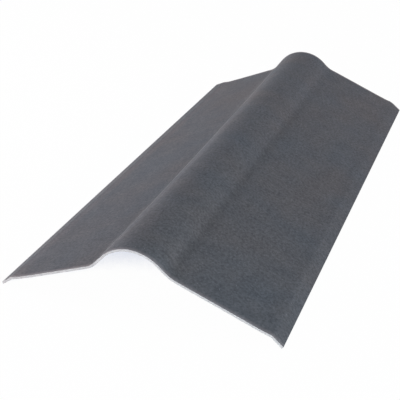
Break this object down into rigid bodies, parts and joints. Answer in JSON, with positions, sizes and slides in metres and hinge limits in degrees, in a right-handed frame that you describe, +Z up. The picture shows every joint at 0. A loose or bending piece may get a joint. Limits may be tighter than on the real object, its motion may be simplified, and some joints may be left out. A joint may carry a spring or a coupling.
{
  "type": "roof ridge cap",
  "caption": "Folded sheet of pressed bitumen fibre that covers a roof ridge: a round crown, two flat sloping wings and a short down-turned drip lip along each edge.",
  "frame": {"origin": "middle of the length and width, on the level floor under the lips' lower edges", "axes": "+Y along the ridge, +X across it, +Z up through the crown"},
  "size_m": [0.485, 1, 0.1181],
  "materials": {
    "bitumen_fibre": "matte"
  },
  "bodies": {
    "root": {"ridge_cap": "bitumen_fibre"}
  },
  "joints": []
}
